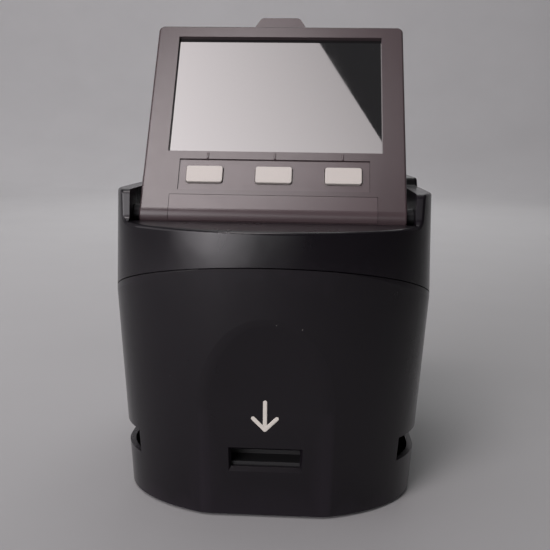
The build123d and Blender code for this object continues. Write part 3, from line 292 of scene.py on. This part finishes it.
MATERIALS = {
    "housing_black": moulded_black("body_satin", BODY, 0.30, 0.03),
    "inner_black": plain_plastic("inner_matte", INNER, 0.55),
    "display_taupe": fine_paint("taupe_paint", TAUPE, 0.245),
    "key_beige": fine_paint("key_plastic", BEIGE, 0.42, 0.1),
    "window_glass": cover_glass("cover_glass"),
    "screen": clear_glass("panel_glass", (0.02, 0.02, 0.022), 0.05, 0.0),
    "lens_glass": clear_glass("optical_glass", (0.92, 0.94, 0.97)),
    "rubber": soft_rubber("foot_rubber"),
    "steel": plated("zinc_plate", (0.55, 0.55, 0.56), 0.34),
    "black_steel": plated("black_oxide", (0.02, 0.02, 0.021), 0.45),
    "light_box_white": plain_plastic("reflector_white", (0.80, 0.80, 0.78), 0.5),
    "opal": plain_plastic("opal_acrylic", (0.86, 0.86, 0.83), 0.35),
    "circuit_board": board("solder_mask"),
    "led_yellow": plain_plastic("phosphor", (0.85, 0.72, 0.28), 0.35),
    "sensor": clear_glass("sensor_cover", (0.06, 0.035, 0.075), 0.05, 0.0),
    "socket_metal": plated("nickel_plate", (0.62, 0.61, 0.59), 0.25),
    "contact_metal": plated("snap_dome", (0.60, 0.57, 0.50), 0.3),
}

for part in frame["record"]["subparts"]:
    shown = nodes[part["node"]]
    shown.data.materials.clear()
    shown.data.materials.append(MATERIALS[part["material_slot"]])


# ---- pieces -------------------------------------------------------------------------
def new_piece(name, shape, material, body):
    """Turn a bmesh, in metres, into an object that rides on a body."""
    mesh = bpy.data.meshes.new(name)
    bmesh.ops.recalc_face_normals(shape, faces=shape.faces)
    shape.to_mesh(mesh)
    shape.free()
    piece = bpy.data.objects.new(name, mesh)
    bpy.context.scene.collection.objects.link(piece)
    mesh.materials.append(material)
    for face in mesh.polygons:
        face.use_smooth = True
    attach(piece, body)
    return piece


def surface_tree(node):
    """Ray-casting tree of a CAD node's own mesh."""
    mesh = nodes[node].data
    corners = [v.co.copy() for v in mesh.vertices]
    faces = [tuple(p.vertices) for p in mesh.polygons]
    return BVHTree.FromPolygons(corners, faces)


BODY_TREES = [surface_tree("lower_housing"), surface_tree("upper_housing")]


def front_y(x, z):
    """Where the front of the housing is, in metres, at a place in millimetres."""
    start = Vector((x * MM, -0.2, z * MM))
    hits = [tree.ray_cast(start, Vector((0, 1, 0)))[0] for tree in BODY_TREES]
    return min(hit.y for hit in hits if hit is not None)


# ---- sizes of the printed arrow and the ticks, in millimetres ------------------------
ARROW_X = -0.23
ARROW_TOP = 44.4
ARROW_TIP = 34.0
ARROW_HEAD = 4.25
ARROW_RISE = 4.3
SHAFT_END_ABOVE_TIP = 0.2
STROKE = 0.72
STROKE_STEP = 0.35
LEAST_HALF_WIDTH = 0.02
PRINT_LIFT = 0.02
PRINT_LAYER_STEP = 0.004
PRINT_DEPTH = 0.05
TICK_PLACES = (-25.2, 0.2, 25.7)
TICK_LOW = 20.75
TICK_HIGH = 23.2
TICK_HALF_WIDTH = 0.42
TICK_RISE = 0.3
TICK_SUNK = 0.15
TICK_SOFT_EDGE = 0.06


def stroke_cells(ends, width):
    """Rows of points across a round-ended stroke, as (x, z) in millimetres."""
    start, end = (Vector(end) for end in ends)
    run = end - start
    length = run.length
    forward = run / length
    side = Vector((-forward.y, forward.x))
    count = max(4, int((length + 2 * width) / STROKE_STEP))
    rows = []
    for i in range(count + 1):
        along = -width + (length + 2 * width) * i / count
        over = max(-along, along - length, 0.0)
        half = math.sqrt(max(width * width - over * over, LEAST_HALF_WIDTH ** 2))
        rows.append([start + forward * along + side * half * k / 3 for k in range(-3, 4)])
    return rows


def printed_arrow():
    """The arrow as one thin printed layer that follows the facet."""
    x = ARROW_X
    strokes = [
        ((x, ARROW_TOP), (x, ARROW_TIP + SHAFT_END_ABOVE_TIP)),
        ((x - ARROW_HEAD, ARROW_TIP + ARROW_RISE), (x, ARROW_TIP)),
        ((x + ARROW_HEAD, ARROW_TIP + ARROW_RISE), (x, ARROW_TIP)),
    ]
    shape = bmesh.new()
    for depth, ends in enumerate(strokes):
        lift = PRINT_LIFT + PRINT_LAYER_STEP * depth
        grid = []
        for row in stroke_cells(ends, STROKE):
            grid.append([
                shape.verts.new((p.x * MM, front_y(p.x, p.y) - lift * MM, p.y * MM))
                for p in row
            ])
        for low, high in zip(grid, grid[1:]):
            for a, b, c, d in zip(low, low[1:], high[1:], high):
                shape.faces.new((a, b, c, d))
    piece = new_piece("slot_arrow", shape, fine_paint("arrow_print", PRINT, 0.5, 0.0),
                      "housing")
    solid = piece.modifiers.new("layer", "SOLIDIFY")
    solid.thickness = PRINT_DEPTH * MM
    solid.offset = 1.0
    return piece


def on_display(x, v, lift):
    """A point on the display's front, from its distance up the panel, in metres."""
    base = Vector((x, HINGE_Y, HINGE_Z))
    return (base + ALONG * v + OUT * (DISPLAY_FRONT + lift)) * MM


def tick(name, x, low, high, half, rise):
    """One raised tick: a bar with sloping sides and ends, sunk a little into the panel."""
    shape = bmesh.new()
    levels = [(0.0, -TICK_SUNK), (0.0, rise * 0.55), (half * 0.45, rise)]
    rings = []
    for inset, lift in levels:
        reach = half - inset
        rings.append([
            shape.verts.new(on_display(
                x + sx * reach, (high - inset) if up else (low + inset), lift))
            for sx, up in ((-1, 0), (1, 0), (1, 1), (-1, 1))
        ])
    for lower, upper in zip(rings, rings[1:]):
        for i in range(4):
            j = (i + 1) % 4
            shape.faces.new((lower[i], lower[j], upper[j], upper[i]))
    shape.faces.new(rings[-1])
    shape.faces.new(list(reversed(rings[0])))
    piece = new_piece(name, shape, MATERIALS["display_taupe"], "display")
    soften = piece.modifiers.new("soft", "BEVEL")
    soften.width = TICK_SOFT_EDGE * MM
    soften.segments = 2
    return piece


printed_arrow()
for number, x in enumerate(TICK_PLACES):
    tick(f"key_tick_{number + 1}", x, TICK_LOW, TICK_HIGH, TICK_HALF_WIDTH, TICK_RISE)


# ---- studio, in metres ----------------------------------------------------------------
FLOOR_RADIUS = 1.5
SWEEP = 0.7
SWEEP_STEPS = 10
WALL_TOP = 2.2
FLOOR_SECTORS = 96


def floor_and_backdrop():
    """A pale round floor that sweeps up into a low wall far from the part, with painted light that
    pales it towards the back and painted shade that darkens it towards the right.
    """
    shape = bmesh.new()
    profile = [(FLOOR_RADIUS, 0.0)]
    for k in range(1, SWEEP_STEPS + 1):
        turned = math.radians(90 * k / SWEEP_STEPS)
        profile.append((FLOOR_RADIUS + SWEEP * math.sin(turned), SWEEP - SWEEP * math.cos(turned)))
    profile.append((FLOOR_RADIUS + SWEEP, WALL_TOP))
    count = FLOOR_SECTORS
    rings = []
    for radius, height in profile:
        rings.append([
            shape.verts.new((radius * math.cos(math.tau * k / count),
                             radius * math.sin(math.tau * k / count), height))
            for k in range(count)
        ])
    centre = shape.verts.new((0, 0, 0))
    for k in range(count):
        j = (k + 1) % count
        shape.faces.new((centre, rings[0][k], rings[0][j]))
        for low, high in zip(rings, rings[1:]):
            shape.faces.new((low[k], low[j], high[j], high[k]))
    mesh = bpy.data.meshes.new("studio_floor")
    bmesh.ops.recalc_face_normals(shape, faces=shape.faces)
    shape.to_mesh(mesh)
    shape.free()
    for face in mesh.polygons:
        face.use_smooth = True
    g = Graph("studio_paper_painted_light")
    split = g.add("ShaderNodeSeparateXYZ")
    g.link(g.place, split.inputs[0])
    # Painted light: the paper pales from the near floor colour to the paler far colour towards the
    # back.
    paper_painted_light_and_shade = g.mix(g.ramp(split.outputs["Y"], -0.1, 1.5), FLOOR, FAR_FLOOR_PAINTED_LIGHT)
    # Painted shade: the paper darkens towards the right.
    painted_shade_right = g.ramp(split.outputs["X"], -0.3, 1.6, 1.0, 0.62)
    paper_painted_light_and_shade = g.mix(painted_shade_right, (0, 0, 0), paper_painted_light_and_shade)
    g.link(g.mix(g.ramp(g.noise(9.0, 3.0), 0.3, 0.7, 0.97, 1.0), (0, 0, 0), paper_painted_light_and_shade),
           g.shader.inputs["Base Color"])
    g.set(Roughness=0.9)
    g.shader.inputs["Specular IOR Level"].default_value = 0.2
    mesh.materials.append(g.material)
    floor = bpy.data.objects.new("studio_floor", mesh)
    bpy.context.scene.collection.objects.link(floor)


def lamp(name, place, target, size, radiance, colour=(1, 1, 1), spin=0.0,
         fade=None, peaked=False):
    """A rectangular soft lamp of a given radiance, aimed at a point, all in metres.

    fade gives its strength at the left and right edge, or, where it is peaked, at both
    edges and in the middle.
    """
    data = bpy.data.lights.new(name, "AREA")
    data.shape = "RECTANGLE"
    data.size, data.size_y = size
    data.energy = radiance * math.pi * size[0] * size[1]
    data.color = colour
    item = bpy.data.objects.new(name, data)
    bpy.context.scene.collection.objects.link(item)
    back = (Vector(place) - Vector(target)).normalized()
    across = Vector((0, 0, 1)).cross(back).normalized()
    up = back.cross(across)
    turn = Matrix((across, up, back)).transposed().to_4x4()
    item.matrix_world = Matrix.Translation(place) @ turn @ Matrix.Rotation(spin, 4, "Z")
    item.visible_camera = False
    if fade:
        data.use_nodes = True
        tree = data.node_tree
        glow = tree.nodes["Emission"]
        where = tree.nodes.new("ShaderNodeNewGeometry")
        split = tree.nodes.new("ShaderNodeSeparateXYZ")
        ramp = tree.nodes.new("ShaderNodeMapRange")
        ramp.inputs["To Min"].default_value = fade[0]
        ramp.inputs["To Max"].default_value = fade[1]
        tree.links.new(where.outputs["Parametric"], split.inputs[0])
        across_lamp = split.outputs["X"]
        if peaked:
            middle = tree.nodes.new("ShaderNodeMath")
            middle.operation = "PINGPONG"
            middle.inputs[1].default_value = 0.5
            ramp.inputs["From Max"].default_value = 0.5
            tree.links.new(across_lamp, middle.inputs[0])
            across_lamp = middle.outputs["Value"]
        tree.links.new(across_lamp, ramp.inputs["Value"])
        tree.links.new(ramp.outputs["Result"], glow.inputs["Strength"])
    return item


DISPLAY_MIDDLE = Vector((0.0002, -0.0092, 0.1514))
REFLECTED_VIEW = Vector((-0.0504, -0.4214, 0.9055)).normalized()
SOFTBOX_DISTANCE = 0.9
SOFTBOX_SIZE = (0.50, 0.33)
SOFTBOX_REACH = 0.0968
SOFTBOX_SHIFT = 0.006
SLANT = Vector((0.757, 0.653))


def reflected_softbox():
    """The lamp that the display reflects; its slanted right edge crosses the glass."""
    middle = DISPLAY_MIDDLE + REFLECTED_VIEW * SOFTBOX_DISTANCE
    across = Vector((0, 0, 1)).cross(REFLECTED_VIEW).normalized()
    up = REFLECTED_VIEW.cross(across)
    along = Vector((SLANT.y, -SLANT.x))
    centre = SLANT * (SOFTBOX_REACH - SOFTBOX_SIZE[0] / 2) + along * SOFTBOX_SHIFT
    place = middle + across * centre.x + up * centre.y
    return lamp("softbox_top", place, place - REFLECTED_VIEW, SOFTBOX_SIZE, 5.0,
                (1.0, 0.93, 0.94), math.atan2(SLANT.y, SLANT.x), (2.0, 0.75))


floor_and_backdrop()
reflected_softbox()
lamp("panel_left", (-0.62, -0.95, 0.36), (0, 0, 0.12), (1.15, 0.66), 3.9, (1.0, 0.95, 0.99),
     fade=(0.0, 2.0), peaked=True)
lamp("side_left", (-1.0, -0.25, 0.45), (0, 0, 0.12), (0.7, 0.7), 1.3, (1.0, 0.95, 0.99))
lamp("overhead", (-0.1, 0.30, 1.35), (0, 0, 0.1), (1.0, 0.8), 1.6)
lamp("front_panel", (-0.22, -1.3, 0.24), (0, 0, 0.09), (1.3, 0.36), 1.0,
     fade=(0.0, 1.7), peaked=True)

lamp("back_panel", (0.15, 1.15, 1.0), (0, 0, 0.1), (0.9, 0.6), 1.5)
lamp("backdrop_light", (0.0, 0.75, 1.15), (0, 1.8, 0.1), (1.8, 0.3), 1.4)

world = bpy.data.worlds.new("studio_air")
bpy.context.scene.world = world
world.use_nodes = True
world.node_tree.nodes["Background"].inputs["Color"].default_value = (0.5, 0.5, 0.51, 1)
world.node_tree.nodes["Background"].inputs["Strength"].default_value = 0.24


# ---- camera, solved from the photograph's perspective ------------------------------------
CAMERA_AZIMUTH = math.radians(2.94)
CAMERA_ELEVATION = math.radians(10.42)
CAMERA_ROLL = math.radians(0.78)
LOOK_AT = Vector((-0.49, 0.0, 78.72))
CAMERA_DISTANCE = 320.54
FOCAL_PIXELS = 760.87
FRAME_PIXELS = 550.0
SENSOR_WIDTH = 36.0


def make_camera():
    """A camera at the photograph's viewing angle, distance and field of view."""
    back = Vector((math.sin(CAMERA_AZIMUTH) * math.cos(CAMERA_ELEVATION),
                   -math.cos(CAMERA_AZIMUTH) * math.cos(CAMERA_ELEVATION),
                   math.sin(CAMERA_ELEVATION)))
    place = (LOOK_AT + back * CAMERA_DISTANCE) * MM
    level = (-back).cross(Vector((0, 0, 1))).normalized()
    raised = level.cross(-back)
    right = level * math.cos(CAMERA_ROLL) + raised * math.sin(CAMERA_ROLL)
    up = raised * math.cos(CAMERA_ROLL) - level * math.sin(CAMERA_ROLL)
    data = bpy.data.cameras.new("camera")
    data.sensor_fit = "HORIZONTAL"
    data.sensor_width = SENSOR_WIDTH
    data.lens = FOCAL_PIXELS * SENSOR_WIDTH / FRAME_PIXELS
    data.clip_start = 0.01
    item = bpy.data.objects.new("camera", data)
    bpy.context.scene.collection.objects.link(item)
    turn = Matrix((right, up, back)).transposed().to_4x4()
    item.matrix_world = Matrix.Translation(place) @ turn
    bpy.context.scene.camera = item


make_camera()
bpy.context.scene.view_settings.view_transform = "Standard"
